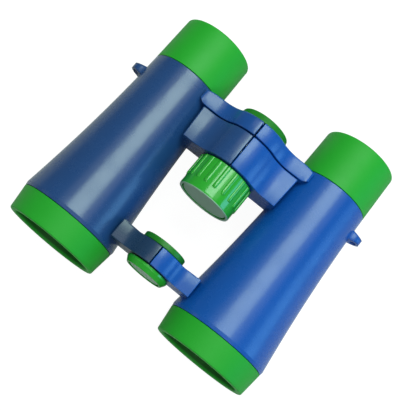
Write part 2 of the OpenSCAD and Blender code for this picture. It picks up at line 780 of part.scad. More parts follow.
// A hollow cap on two pegs, clear of the half that turns under it
module rear_cap() {
    end_r = rear_cap_r - rear_cap_taper;
    color(green) lying() {
        turned_hinge() polygon([
            [cap_hollow_r, rear_cap_y], [rear_cap_r, rear_cap_y],
            [end_r, rear_cap_end_y - plain_edge], [end_r - plain_edge, rear_cap_end_y],
            [0, rear_cap_end_y], [0, rear_cap_end_y - rear_cap_roof],
            [cap_hollow_r, rear_cap_end_y - rear_cap_roof]
        ]);
        cap_pegs(peg_r, peg_len);
    }
}

module front_pin() {
    color(steel) lying() bar_y(front_pin_r, front_pin_y, front_pin_end_y, 0, hinge_lift);
}

// The dished cap, seated on the left half's ring and clear of the right half
module front_cap() {
    cap_end_y = front_cap_y + front_cap_len;
    seat_r = cap_disc_r + side_fit;
    color(green) lying() difference() {
        turned_hinge() polygon([
            [0, cap_floor_y], [seat_r, cap_floor_y], [seat_r, front_cap_y],
            [front_cap_r - slope_w, front_cap_y], [front_cap_r, front_cap_y + slope_len],
            [front_cap_r, cap_end_y], [cap_boss_r, cap_end_y], [cap_boss_r, front_y],
            [0, front_y]
        ]);
        bar_y(front_pin_r + close_fit, front_pin_y, front_y + over, 0, hinge_lift);
    }
}

module front_cap_disc() {
    color(grey_green) lying()
        bar_y(cap_disc_r, front_cap_y + cap_disc_sink, cap_floor_y, 0, hinge_lift);
}

module front_back_cap() {
    color(green) lying() difference() {
        turned_hinge() polygon([
            [0, back_cap_y], [front_cap_r, back_cap_y],
            [front_cap_r, back_cap_end_y - plain_edge],
            [front_cap_r - plain_edge, back_cap_end_y], [0, back_cap_end_y]
        ]);
        bar_y(front_pin_r + close_fit, back_cap_y - over, front_pin_end_y, 0, hinge_lift);
    }
}

barrel_shell(left);  // barrel_left
barrel_shell(right);  // barrel_right
objective_ring(left);  // objective_ring_left
objective_ring(right);  // objective_ring_right
objective_lens(left);  // objective_lens_left
objective_lens(right);  // objective_lens_right
lens_keeper(left);  // lens_keeper_left
lens_keeper(right);  // lens_keeper_right
light_stop(left);  // light_stop_left
light_stop(right);  // light_stop_right
strap_lug(left);  // strap_lug_left
strap_lug(right);  // strap_lug_right
eyecup(left);  // eyecup_left
eyecup(right);  // eyecup_right
eyepiece_tube(left);  // eyepiece_tube_left
eyepiece_tube(right);  // eyepiece_tube_right
eye_lens(left);  // eye_lens_left
eye_lens(right);  // eye_lens_right
eye_keeper(left);  // eye_keeper_left
eye_keeper(right);  // eye_keeper_right
focus_arm(left);  // focus_arm_left
focus_arm(right);  // focus_arm_right
focus_nut();
bridge_block(left);  // bridge_block_left
bridge_block(right);  // bridge_block_right
bridge_plate(left);  // bridge_plate_left
bridge_plate(right);  // bridge_plate_right
front_arm(left);  // front_arm_left
front_arm(right);  // front_arm_right
bridge_screw(left, rear_screw_y, rear_screw_z);  // rear_screw_left
bridge_screw(right, rear_screw_y, rear_screw_z);  // rear_screw_right
bridge_screw(left, front_screw_y, front_screw_z);  // front_screw_left
bridge_screw(right, front_screw_y, front_screw_z);  // front_screw_right
focus_shaft();
focus_knob();
knob_disc();
shaft_clip();
rear_cap();
front_pin();
front_cap();
front_cap_disc();
front_back_cap();
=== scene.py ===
"""Toy binoculars, laid open on a pale floor and seen from above.

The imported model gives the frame. Every shell that shows is worked out again here as a
smooth surface with rounded edges, in the order in which the binoculars are put together.
"""

import json
from math import asin, atan2, degrees, radians, sin, sqrt, tan

import bmesh
import bpy
import numpy as np
from mathutils import Matrix, Vector
from mathutils.geometry import tessellate_polygon


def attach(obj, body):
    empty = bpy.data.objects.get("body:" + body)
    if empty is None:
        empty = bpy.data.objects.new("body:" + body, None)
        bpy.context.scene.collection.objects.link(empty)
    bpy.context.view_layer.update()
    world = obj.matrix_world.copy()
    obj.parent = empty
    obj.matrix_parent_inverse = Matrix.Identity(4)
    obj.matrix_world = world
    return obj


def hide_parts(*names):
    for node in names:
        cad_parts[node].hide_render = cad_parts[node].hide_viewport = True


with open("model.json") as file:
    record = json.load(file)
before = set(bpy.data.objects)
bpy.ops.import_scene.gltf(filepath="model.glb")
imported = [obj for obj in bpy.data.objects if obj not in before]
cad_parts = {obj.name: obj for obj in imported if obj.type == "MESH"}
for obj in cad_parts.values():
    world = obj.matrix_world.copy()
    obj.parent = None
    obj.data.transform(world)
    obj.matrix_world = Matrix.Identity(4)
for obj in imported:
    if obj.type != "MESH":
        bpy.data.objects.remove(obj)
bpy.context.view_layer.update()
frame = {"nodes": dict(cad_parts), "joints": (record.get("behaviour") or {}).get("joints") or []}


# Barrels. Two flared shells of satin plastic. The left one is bright blue; the right one is
# a darker, greyer copy of that blue, painted shade. Under the rear bridge, a slot through
# the wall lets in the arm that moves the eyepiece. Left and right are as for someone who
# looks through the binoculars, so left is at +X.

SIDES = {"left": 1.0, "right": -1.0}
HALF = 36.0
HINGE_Z = 9.7
SEAM = 0.1
FRONT_SEAM, LIP_Y, REAR_SEAM = 10.1, 11.6, 82.4
MOUTH_R, FRONT_R, LIP_R, REAR_R = 18.95, 20.9, 21.15, 15.85
WALL = 1.9
RING_SEAT_Y = 17.4
BORE_R, BORE_Y = 13.0, 58.0
CUP_SEAT_R, CUP_SEAT_Y = 14.3, 77.1
SLOT = (68.05, 74.15)
SLOT_HALF = 2.8

focus_turn = next(j for j in frame["joints"] if j["name"] == "focus_turn")
hinge_point = np.array(focus_turn["pos_m"])
along = np.array(focus_turn["axis"])
upward = np.cross((1.0, 0.0, 0.0), along)


def placed(points):
    """Points in millimetres, given as X across from the hinge, Y back from the front rims
    and Z up from the barrels' axes, laid in the row frame in metres."""
    p = np.asarray(points, float) / 1000.0
    return (
        hinge_point
        + p[..., 0:1] * np.array((1.0, 0.0, 0.0))
        + (p[..., 1:2] - 0.060) * along
        + (p[..., 2:3] - HINGE_Z / 1000.0) * upward
    )


def grid_faces(rows, columns, close_rows=True):
    """Quads between neighbours on a grid of points, counted row by row. Every row closes on
    itself, and with closed rows the last row meets the first."""
    i = np.arange(rows if close_rows else rows - 1)
    i, j = np.meshgrid(i, np.arange(columns), indexing="ij")
    k, m = (i + 1) % rows, (j + 1) % columns
    quads = [i * columns + j, i * columns + m, k * columns + m, k * columns + j]
    return np.stack(quads, -1).reshape(-1, 4)


def piece(name, body, finish, shells, stands_for=()):
    """One object from closed shells, each an array of points with its faces. In each shell
    the points that meet are merged, and its faces are turned outwards."""
    whole = bmesh.new()
    for spots, faces in shells:
        part = bpy.data.meshes.new("part")
        corners = placed(spots).reshape(-1, 3)
        part.from_pydata(corners.tolist(), [], [tuple(f) for f in faces])
        shell = bmesh.new()
        shell.from_mesh(part)
        bmesh.ops.remove_doubles(shell, verts=shell.verts, dist=2e-6)
        bmesh.ops.recalc_face_normals(shell, faces=shell.faces)
        shell.to_mesh(part)
        shell.free()
        whole.from_mesh(part)
        bpy.data.meshes.remove(part)
    mesh = bpy.data.meshes.new(name)
    whole.to_mesh(mesh)
    whole.free()
    mesh.shade_smooth()
    mesh.set_sharp_from_angle(angle=radians(48))
    mesh.materials.append(finish)
    made = bpy.data.objects.new(name, mesh)
    bpy.context.scene.collection.objects.link(made)
    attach(made, body)
    if stands_for:
        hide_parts(*stands_for)


def rounded(corners, closed=True, steps=5):
    """Outline through corners given as (a, b, radius). A corner with a radius becomes an
    arc that touches both its sides, with one point more on each side, close to the arc."""
    spots = []
    count = len(corners)
    for i, (a, b, radius) in enumerate(corners):
        here = np.array((a, b), float)
        if radius == 0 or (not closed and i in (0, count - 1)):
            spots.append(here[None])
            continue
        back = np.array(corners[i - 1][:2], float) - here
        ahead = np.array(corners[(i + 1) % count][:2], float) - here
        room = 0.46 * min(np.linalg.norm(back), np.linalg.norm(ahead))
        back, ahead = back / np.linalg.norm(back), ahead / np.linalg.norm(ahead)
        half = 0.5 * np.arccos(np.clip(back @ ahead, -1, 1))
        reach = min(radius / tan(half), room)
        radius = reach * tan(half)
        middle = back + ahead
        centre = here + middle / np.linalg.norm(middle) * radius / sin(half)
        first, last = here + back * reach - centre, here + ahead * reach - centre
        turn = np.pi - 2 * half
        share = np.linspace(0, 1, steps + 1)[:, None]
        arc = (np.sin((1 - share) * turn) * first + np.sin(share * turn) * last) / sin(turn)
        extra = min(0.25 * radius, room - reach)
        if extra > 0.01:
            spots.append((here + back * (reach + extra))[None])
        spots.append(centre + arc)
        if extra > 0.01:
            spots.append((here + ahead * (reach + extra))[None])
    return np.concatenate(spots)


def barrel_r(y):
    """Outer radius of the barrel at a station. It grows towards the front by a share of
    the way there and a share of its square, as a trumpet does."""
    t = (REAR_SEAM - y) / (REAR_SEAM - LIP_Y)
    return REAR_R + (LIP_R - REAR_R) * (0.31 * t + 0.69 * t * t)


def turned_round(profile, x, z, columns):
    """An outline of radius and Y, turned round a line along the barrels at x and z. The
    columns are the angles from straight up, one row of them for each point, in degrees."""
    r, y = profile[:, 0:1], profile[:, 1:2]
    a = np.radians(columns)
    return np.stack([x + r * np.sin(a), y + 0 * a, z + r * np.cos(a)], -1)


class Number:
    """A number that varies over a surface. Sums and products of it add Math nodes."""

    def __init__(self, finish, socket):
        self.finish, self.socket = finish, socket

    def __add__(self, other):
        return self.finish.math("ADD", self, other)

    def __sub__(self, other):
        return self.finish.math("SUBTRACT", self, other)

    def __rsub__(self, other):
        return self.finish.math("SUBTRACT", other, self)

    def __mul__(self, other):
        return self.finish.math("MULTIPLY", self, other)

    __radd__, __rmul__ = __add__, __mul__


class Finish:
    """A material that is built up node by node, and ends in one surface shader."""

    def __init__(self, name):
        self.material = bpy.data.materials.new(name)
        self.material.use_nodes = True
        self.tree = self.material.node_tree
        self.tree.nodes.clear()

    def node(self, kind, settings, inputs, output=0):
        """Any node: first its settings, then the values and links of its sockets."""
        node = self.tree.nodes.new(kind)
        for key, value in settings.items():
            setattr(node, key, value)
        for key, value in inputs.items():
            if isinstance(value, Number):
                self.tree.links.new(value.socket, node.inputs[key])
            elif node.inputs[key].type == "RGBA":
                node.inputs[key].default_value = (*value, 1.0)
            else:
                node.inputs[key].default_value = value
        return Number(self, node.outputs[output])

    def math(self, operation, first, second):
        """A sum, product or other function of two numbers."""
        return self.node("ShaderNodeMath", {"operation": operation}, {0: first, 1: second})

    def vectors(self, operation, inputs, output=0):
        """A function of two vectors, or of one."""
        return self.node("ShaderNodeVectorMath", {"operation": operation}, inputs, output)

    def spots(self):
        """The object's own coordinates, in metres."""
        return self.node("ShaderNodeTexCoord", {}, {}, "Object")

    def noise(self, size, detail=2.0, rough=0.5):
        """Cloudy numbers from 0 to 1, with patches of about that size in metres."""
        return self.node(
            "ShaderNodeTexNoise",
            {},
            {
                "Vector": self.spots(),
                "Scale": 1.0 / size,
                "Detail": detail,
                "Roughness": rough,
            },
            "Fac",
        )

    def between(self, low, high, share):
        """A colour between two others."""
        return self.node(
            "ShaderNodeMix",
            {"data_type": "RGBA"},
            {"Factor": share, "A": low, "B": high},
            "Result",
        )

    def share(self, value, low, high, least=0.0, most=1.0):
        """The least below one value, the most above another, and a soft step between."""
        return self.node(
            "ShaderNodeMapRange",
            {"interpolation_type": "SMOOTHSTEP"},
            {
                "Value": value,
                "From Min": low,
                "From Max": high,
                "To Min": least,
                "To Max": most,
            },
        )

    def cylindrical(self, centre):
        """Distance from the line along the barrels through a point, and place along it."""
        offset = self.vectors("SUBTRACT", {0: self.spots(), 1: centre})
        crossed = self.vectors("CROSS_PRODUCT", {0: offset, 1: tuple(along)})
        away = self.vectors("LENGTH", {0: crossed}, "Value")
        down = self.vectors("DOT_PRODUCT", {0: offset, 1: tuple(along)}, "Value")
        return away, down

    def bump(self, height, distance, strength=1.0, normal=None):
        """Normals tilted by the slope of a height, on top of other normals if given."""
        inputs = {"Height": height, "Distance": distance, "Strength": strength}
        if normal:
            inputs["Normal"] = normal
        return self.node("ShaderNodeBump", {}, inputs)

    def surface(self, **inputs):
        """The Principled shader on the material's output."""
        shader = self.node(
            "ShaderNodeBsdfPrincipled",
            {},
            {key.replace("_", " "): value for key, value in inputs.items()},
        )
        out = self.tree.nodes.new("ShaderNodeOutputMaterial")
        self.tree.links.new(shader.socket, out.inputs["Surface"])
        return self.material


def satin_plastic(name, dark, light, roughness, grain=1.0, ior=1.5, bore=None):
    """Moulded plastic: a colour that drifts a little with the flow in the mould, a fine
    sparked grain from the tool, a faint waviness, and patches rubbed by hands. In a bore,
    given by the middle of its mouth and its radius, the wall behind the lip is painted a
    third as bright, as painted shade."""
    f = Finish(name)
    flow = f.noise(0.022, 3.0, 0.55)
    colour = f.between(dark, light, flow)
    # Painted shade: inside the bore's radius and past the lip, the colour drops to a third.
    if bore:
        away, down = f.cylindrical(bore[0])
        outside_painted_shade = f.share(away, bore[1], bore[1] + 0.0003)
        lip = 1 - f.share(down, 0.0007, 0.0015)
        colour = f.between(tuple(np.array(dark) / 3), colour, outside_painted_shade + lip)
    hands = f.noise(0.009, 4.0, 0.6)
    fine = f.noise(0.00045, 2.0, 0.6)
    wavy = f.noise(0.0045, 1.0, 0.4)
    rubbed = f.share(hands, 0.35, 0.75)
    return f.surface(
        Base_Color=colour,
        Roughness=roughness + (rubbed - 0.5) * 0.07 + (fine - 0.5) * 0.10,
        Normal=f.bump(fine, 0.000006 * grain, 1.0, f.bump(wavy, 0.00003, 0.4)),
        IOR=ior,
    )


BLUE = satin_plastic(
    "blue_satin", (0.004, 0.075, 0.345), (0.006, 0.087, 0.395), 0.28, ior=1.43
)
# A darker, greyer copy of the blue: painted shade for the right half's pieces.
SHADED_BLUE = satin_plastic("blue_satin_painted_shade", (0.011, 0.052, 0.175), (0.014, 0.061, 0.203), 0.27)

FLARE_STATIONS = np.concatenate(
    [
        np.linspace(LIP_Y + 0.9, SLOT[0], 52),
        np.linspace(SLOT[0], SLOT[1], 7)[1:],
        np.linspace(SLOT[1], REAR_SEAM - 1.0, 8)[1:],
    ]
)
BORE_STATIONS = np.concatenate(
    [
        np.linspace(CUP_SEAT_Y - 0.9, SLOT[1], 4),
        np.linspace(SLOT[1], SLOT[0], 7)[1:],
        np.linspace(SLOT[0], BORE_Y + 1.0, 6)[1:],
    ]
)
barrel_outline = rounded(
    [(FRONT_R, FRONT_SEAM + SEAM, 0.18), (LIP_R, LIP_Y, 0.5)]
    + [(barrel_r(y), y, 0) for y in FLARE_STATIONS]
    + [
        (REAR_R, REAR_SEAM - SEAM, 0.2),
        (CUP_SEAT_R, REAR_SEAM - SEAM, 0.2),
        (CUP_SEAT_R, CUP_SEAT_Y, 0.2),
        (BORE_R, CUP_SEAT_Y, 0.2),
    ]
    + [(BORE_R, y, 0) for y in BORE_STATIONS]
    + [(BORE_R, BORE_Y, 0.2)]
    + [(barrel_r(y) - WALL, y, 0) for y in np.linspace(BORE_Y, RING_SEAT_Y, 24)]
    + [(MOUTH_R, RING_SEAT_Y, 0), (MOUTH_R, FRONT_SEAM + SEAM, 0.2)]
)
# The slot's edges keep to a width in millimetres, so their angle depends on the radius.
steady = np.arange(-180.0, 180.0, 3.0)
slot_edge = 12.0
edge = np.degrees(np.arcsin(SLOT_HALF / barrel_outline[:, 0:1]))
inside = np.abs(steady) <= slot_edge
barrel_columns = np.where(
    inside,
    steady * edge / slot_edge,
    np.sign(steady)
    * (edge + (np.abs(steady) - slot_edge) * (180.0 - edge) / (180.0 - slot_edge)),
)
r, y = barrel_outline.T
slot_rows = (y > SLOT[0] - 1e-6) & (y < SLOT[1] + 1e-6)
outer_rows = np.flatnonzero(slot_rows & (r > BORE_R + 1))
inner_rows = np.flatnonzero(slot_rows & (r < BORE_R + 1))[::-1]
slot_columns = np.flatnonzero(inside)
rows, columns = len(barrel_outline), len(steady)
open_row = np.zeros(rows, bool)
open_row[outer_rows[:-1]] = open_row[inner_rows[1:]] = True
open_column = np.zeros(columns, bool)
open_column[slot_columns[:-1]] = True
shell_faces = grid_faces(rows, columns)[~(open_row[:, None] & open_column).ravel()]
outer = outer_rows[:, None] * columns + slot_columns
inner = inner_rows[:, None] * columns + slot_columns
slot_walls = [
    (a0, a1, b1, b0)
    for a, b in (
        (outer[:, 0], inner[:, 0]),
        (outer[:, -1], inner[:, -1]),
        (outer[0], inner[0]),
        (outer[-1], inner[-1]),
    )
    for a0, a1, b0, b1 in zip(a, a[1:], b, b[1:])
]

for side, sign in SIDES.items():
    toward_hinge = degrees(atan2(-sign * HALF, HINGE_Z))
    shell = turned_round(barrel_outline, sign * HALF, 0.0, toward_hinge + barrel_columns)
    piece(
        f"barrel_shell_{side}",
        f"{side}_half",
        BLUE if sign > 0 else SHADED_BLUE,
        [(shell, shell_faces.tolist() + slot_walls)],
        [f"barrel_{side}"],
    )


# Strap lugs. A tab on the outer side of each barrel, of the barrel's plastic, tapers from
# its foot to a round tip. A hole along the barrel takes the cord.

LUG = (72.6, 76.0)
LUG_ROOT, LUG_SIDE, LUG_FOOT, LUG_TIP = 14.2, 15.4, 16.1, 20.59
LUG_R = 3.4
LUG_Z = 1.0
HOLE_R, HOLE_INSET = 1.3, 2.3


def joined(*parts):
    """One shell from its parts, each an array of points with its faces."""
    points, faces, start = [], [], 0
    for spots, corners in parts:
        points.append(np.reshape(spots, (-1, 3)))
        faces += [[start + int(c) for c in f] for f in corners]
        start += len(points[-1])
    return np.concatenate(points), faces


def slab(outline, y0, y1, edge0, edge1, holes=(), near=None, far=None):
    """The shell of a plate between two stations. The outline of X and Z is drawn in by the
    edge radius at each end, on a quarter round, and both ends are closed flat, except
    where the holes, which are outlines too, go through. Near and far list other outlines
    to close an end with, or none to leave it open."""
    quarter = np.linspace(np.pi / 2, 0, 5)
    draws, stations = [], []
    for y, edge, inward in ((y0, edge0, 1.0), (y1, edge1, -1.0)):
        draw, lift = np.zeros(1), np.zeros(1)
        if edge > 0:
            draw = np.append(edge * 1.35, edge * (1 - np.cos(quarter)))
            lift = np.append(0.0, edge * (1 - np.sin(quarter)))
        draws.append(draw)
        stations.append(y + inward * lift)
    draw = np.append(draws[0], draws[1][::-1])
    station = np.append(stations[0], stations[1][::-1])
    parts, ends = [], ([], [])
    for loop, sense in [(outline, -1.0)] + [(hole, 1.0) for hole in holes]:
        following = np.roll(loop, -1, 0)
        ahead = following - loop
        ahead /= np.linalg.norm(ahead, axis=1, keepdims=True)
        back = np.roll(ahead, 1, 0)
        normal = np.stack([ahead[:, 1] + back[:, 1], -ahead[:, 0] - back[:, 0]], -1)
        normal /= np.linalg.norm(normal, axis=1, keepdims=True)
        area = np.sum(loop[:, 0] * following[:, 1] - loop[:, 1] * following[:, 0])
        spots = loop[None] + sense * np.sign(area) * draw[:, None, None] * normal[None]
        level = np.broadcast_to(station[:, None], spots.shape[:2])
        wall = np.stack([spots[..., 0], level, spots[..., 1]], -1)
        parts.append((wall, grid_faces(len(draw), len(loop), close_rows=False)))
        ends[0].append(wall[0])
        ends[1].append(wall[-1])
    for rims, other, y in ((ends[0], near, y0), (ends[1], far, y1)):
        if other is not None:
            rims = [np.insert(loop, 1, y, axis=1) for loop in other]
        if rims:
            flat = [[Vector((p[0], p[2], 0.0)) for p in rim] for rim in rims]
            parts.append((np.concatenate(rims), tessellate_polygon(flat)))
    return joined(*parts)


def ring(radius, x=0.0, z=0.0, start=0.0, end=360.0, step=3.0):
    """Points of an arc about x and z, from one angle to another, clockwise from straight
    up, in degrees. A full circle leaves out its last point."""
    whole = abs(end - start) >= 360.0
    count = max(int(abs(end - start) / step), 2)
    a = np.radians(np.linspace(start, end, count + 1))[: count if whole else None]
    return np.stack([x + radius * np.sin(a), z + radius * np.cos(a)], -1)


for side, sign in SIDES.items():
    middle = HALF + LUG_TIP - LUG_R
    top, bottom = LUG_Z + LUG_R, LUG_Z - LUG_R
    tab = np.concatenate(
        [
            [(HALF + LUG_ROOT, top)],
            np.linspace((HALF + LUG_SIDE, top), (middle, top), 8)[:-1],
            ring(LUG_R, middle, LUG_Z, 0.0, 180.0, 6.0),
            np.linspace((middle, bottom), (HALF + LUG_SIDE, bottom), 8)[1:],
            [(HALF + LUG_ROOT, bottom)],
        ]
    )
    hole = ring(HOLE_R, HALF + LUG_TIP - HOLE_INSET, LUG_Z, step=10.0)
    spots, faces = slab(tab, *LUG, 0.8, 0.8, [hole])
    # The tab is thickest at its foot, and its edges spread a little at the barrel.
    x, y, z = np.moveaxis(spots, -1, 0)
    out = np.clip(np.hypot(x - HALF, z) - LUG_FOOT, 0, 9)
    spread = 1.22 - 0.12 * np.minimum(out, 4.6)
    y = np.mean(LUG) + (y - np.mean(LUG)) * spread
    z = LUG_Z + (z - LUG_Z) * (1 + 0.05 * np.exp(-out / 0.4))
    # The right tab takes the darker copy of the blue, painted shade.
    piece(
        f"lug_{side}",
        f"{side}_half",
        BLUE if sign > 0 else SHADED_BLUE,
        [(np.stack([sign * x, y, z], -1), faces)],
        [f"strap_lug_{side}"],
    )


# Objective rings. Green collars pushed into the front of the barrels, a little narrower
# at the rim, with a fine groove at the seam. A ledge inside carries the lens, and the wall
# behind the lip is darkened with painted shade.

GREEN_PAIR = (0.008, 0.322, 0.014), (0.012, 0.362, 0.021)
GREEN = satin_plastic("green_satin", *GREEN_PAIR, 0.56, ior=1.42)

ROUND = np.arange(0.0, 360.0, 3.0)


def collar(name, side, outline, finish, node, x=None, z=0.0):
    """A green piece: one closed outline turned round a barrel's axis, or another line."""
    x = SIDES[side] * HALF if x is None else x
    spots = turned_round(outline, x, z, ROUND[None, :])
    faces = grid_faces(len(outline), len(ROUND))
    piece(name, f"{side}_half", finish, [(spots, faces)], [node])


RING_BORE, RING_SPIGOT, RING_END = 17.15, 18.9, 17.1
LEDGE_R, LEDGE = 16.05, (6.6, 7.8)
ring_outline = rounded(
    [
        (RING_BORE, 0.0, 0.6),
        (19.75, 0.0, 0.6),
        (FRONT_R, FRONT_SEAM - SEAM, 0.18),
        (RING_SPIGOT, FRONT_SEAM - SEAM, 0.1),
        (RING_SPIGOT, RING_END, 0.3),
        (RING_BORE, RING_END, 0.3),
        (RING_BORE, LEDGE[1], 0.1),
        (LEDGE_R, LEDGE[1], 0.1),
        (LEDGE_R, LEDGE[0], 0.15),
        (RING_BORE, LEDGE[0], 0.1),
    ]
)
for side, sign in SIDES.items():
    bore = (tuple(placed((sign * HALF, 0.0, 0.0))), 0.0172)
    finish = satin_plastic(f"green_ring_painted_shade_{side}", *GREEN_PAIR, 0.56, ior=1.42, bore=bore)
    collar(f"front_ring_{side}", side, ring_outline, finish, f"objective_ring_{side}")


# Objective lenses. Clear plastic, a little thicker in the middle, with a faint violet
# bloom. A matt black ring behind each one holds it in the collar.

def clear_lens(name, tint):
    """Clear plastic with a tinted reflection, and a few specks of dust on it."""
    f = Finish(name)
    dust = f.share(f.noise(0.0006, 2.0, 0.6), 0.66, 0.8, 0.02, 0.25)
    return f.surface(
        Base_Color=(0.95, 0.98, 0.98),
        Roughness=dust,
        IOR=1.49,
        Transmission_Weight=1.0,
        Specular_Tint=tint,
        Coat_Weight=0.0,
    )


def matt_black(name, roughness):
    """Black plastic that is blasted matt, with a little dust in the grain."""
    f = Finish(name)
    fine = f.noise(0.0004, 3.0, 0.6)
    dust = f.noise(0.004, 4.0, 0.65)
    return f.surface(
        Base_Color=f.between((0.012, 0.012, 0.013), (0.028, 0.028, 0.030), dust),
        Roughness=roughness + (fine - 0.5) * 0.15,
        Normal=f.bump(fine, 0.00003, 0.8),
        IOR=1.46,
    )


LENS = clear_lens("clear_lens", (0.75, 0.72, 1.0))
BLACK = matt_black("matt_black", 0.62)


def lens(name, side, radius, flat, rise, y0, y1, node, body):
    """A round lens whose faces bow out by the rise, or in where it is less than nothing,
    along a parabola that ends at the flat rim."""
    share = np.linspace(0, 1, 14)
    inner = radius - flat
    front = np.stack([inner * share, y0 - rise * (1 - share**2)], -1)
    back = np.stack([inner * share, y1 + rise * (1 - share**2)], -1)[::-1]
    rim = rounded(
        [(inner, y0, 0), (radius, y0, 0.15), (radius, y1, 0.15), (inner, y1, 0)],
        closed=False,
    )
    outline = np.concatenate([front[:-1], rim, back[1:]])
    spots = turned_round(outline, SIDES[side] * HALF, 0.0, ROUND[None, :])
    faces = grid_faces(len(outline), len(ROUND), close_rows=False)
    piece(name, body, LENS, [(spots, faces)], [node])


def carried(node, finish):
    """A node whose shape is right keeps it, and takes its finish."""
    mesh = frame["nodes"][node].data
    mesh.materials.clear()
    mesh.materials.append(finish)


for side in SIDES:
    lens(
        f"front_lens_{side}",
        side,
        radius=17.1,
        flat=1.4,
        rise=1.1,
        y0=LEDGE[1],
        y1=10.0,
        node=f"objective_lens_{side}",
        body=f"{side}_half",
    )
    carried(f"lens_keeper_{side}", BLACK)
    carried(f"light_stop_{side}", BLACK)


# Eyecups. Green cups pushed into the rear of the barrels, almost straight, with a soft
# outer edge and a dish that narrows to the opening in front of the eye.

CUP_BORE, CUP_SPIGOT, CUP_OPENING = 13.3, 14.25, 10.3
CUP_FRONT, CUP_SHELF, CUP_END = 77.4, 93.8, 102.8
cup_outline = rounded(
    [
        (CUP_BORE, CUP_FRONT, 0.2),
        (CUP_SPIGOT, CUP_FRONT, 0.2),
        (CUP_SPIGOT, REAR_SEAM + SEAM, 0.1),
        (REAR_R, REAR_SEAM + SEAM, 0.18),
        (15.5, CUP_END, 1.1),
        (13.6, CUP_END, 0.5),
        (11.2, 97.0, 1.5),
        (CUP_OPENING, 95.3, 0.4),
        (CUP_OPENING, CUP_SHELF, 0.3),
        (CUP_BORE, CUP_SHELF, 0.2),
    ]
)
for side in SIDES:
    collar(f"eye_cup_{side}", side, cup_outline, GREEN, f"eyecup_{side}")


# Eyepieces. A matt black tube slides in each barrel with a hollow lens at its end. A flat
# black arm carries it, and a steel nut on the shaft moves both arms.

def turned_steel(name, centre):
    """Steel turned on a lathe: fine rings about its axis, and a little tarnish."""
    f = Finish(name)
    away, down = f.cylindrical(centre)
    cut = f.math("SINE", (away + down) * 42000.0, 0.0)
    tarnish = f.noise(0.0025, 4.0, 0.6)
    return f.surface(
        Base_Color=f.between((0.42, 0.42, 0.43), (0.60, 0.60, 0.61), tarnish),
        Metallic=1.0,
        Roughness=0.26 + (tarnish - 0.5) * 0.2,
        Normal=f.bump(cut, 0.000006, 0.6),
    )


STEEL = turned_steel("turned_steel", tuple(hinge_point))
for side in SIDES:
    lens(
        f"rear_lens_{side}",
        side,
        radius=11.35,
        flat=1.2,
        rise=-1.3,
        y0=85.85,
        y1=89.85,
        node=f"eye_lens_{side}",
        body=f"{side}_eyepiece",
    )
    for node in ("eyepiece_tube", "eye_keeper", "focus_arm"):
        carried(f"{node}_{side}", BLACK)
carried("focus_nut", STEEL)


# Rear bridge, block. The thick front part of each half, of the barrels' blue plastic, the
# right one in its darker copy that is painted shade. It rises from the barrel, dips, and
# swells to a dome over the hinge, where the halves meet.

OWN_RING_R, ROOM_R = 7.0, 7.3
REAR_SHAPE = dict(sweep_r=11.0, under=1.2, foot_r=15.4, room_r=ROOM_R)
FOLD_NOTCH = 29.0
CHANNEL_HALF = 2.8
SHAFT_BORE = 3.05


def wing(dome_r, top, end_x, sweep_r, under, foot_r, room_r, edge=0.45, seam=0.2):
    """Outlines of a bridge's half in X and Z. It runs from the face of the seam over the
    dome about the hinge, along a hollow sweep that touches dome and flat, round the outer
    end, down a foot inside the barrel's wall, back along the underside, and round the room
    for the other half's ring. Beside the whole come its parts above and below the channel
    for the arm to the eyepiece, and the channel itself."""

    def foot(start, end):
        """An arc about the barrel's axis."""
        return ring(foot_r, HALF, 0.0, start, end, 3.0)

    def room(start, end):
        """An arc about the hinge axis."""
        return ring(room_r, 0.0, HINGE_Z, start, end, 4.0)

    sweep_z = top + sweep_r
    sweep_x = sqrt((dome_r + sweep_r) ** 2 - (sweep_z - HINGE_Z) ** 2)
    meet = degrees(atan2(sweep_x, sweep_z - HINGE_Z))
    dome = ring(dome_r, 0.0, HINGE_Z, 4.0, meet, 2.0)
    crest = HINGE_Z + sqrt(dome_r**2 - seam**2)
    lip = [(seam, crest - 1.2, 0), (seam, crest, 0.35), (*dome[0], 0)]
    sweep = ring(sweep_r, sweep_x, sweep_z, meet - 180.0, -180.0, 3.0)[1:]
    wall_z = sqrt(foot_r**2 - (HALF - end_x) ** 2)
    end = rounded([(sweep_x, top, 0), (end_x, top, edge), (end_x, wall_z, 0)], closed=False)
    flat = np.linspace(end[0], end[1], 8)[1:-1]
    over = [rounded(lip, closed=False)[:-1], dome, sweep, flat, end[1:-1]]

    low = sqrt(dome_r**2 - (HINGE_Z - under) ** 2)
    notch = 180.0 - FOLD_NOTCH
    low_dome = ring(dome_r, 0.0, HINGE_Z, 180.0 - degrees(asin(low / dome_r)), notch, 2.0)
    below = [np.array([(low + 4.0, under), (low + 0.6, under)]), low_dome]

    tilt = atan2(HINGE_Z, HALF)
    inner, outer = [], []
    for d in (CHANNEL_HALF, -CHANNEL_HALF):
        inner.append(90.0 + degrees(tilt - asin(d / room_r)))
        outer.append(degrees(tilt + asin(d / foot_r)) - 90.0)
    first = -degrees(asin((HALF - end_x) / foot_r))
    last = degrees(asin(under / foot_r)) - 90.0
    upper = over + [foot(first, outer[0])]
    lower = [foot(outer[1], last)] + below + [room(notch, inner[1])]
    channel = [foot(*outer), room(inner[1], inner[0])]
    top_room = room(inner[0], degrees(asin(seam / room_r)))
    whole = upper + [channel[0][1:], lower[0][1:]] + lower[1:]
    whole += [channel[1][1:], top_room[1:]]
    return [np.concatenate(runs) for runs in (whole, upper + [top_room], lower, channel)]


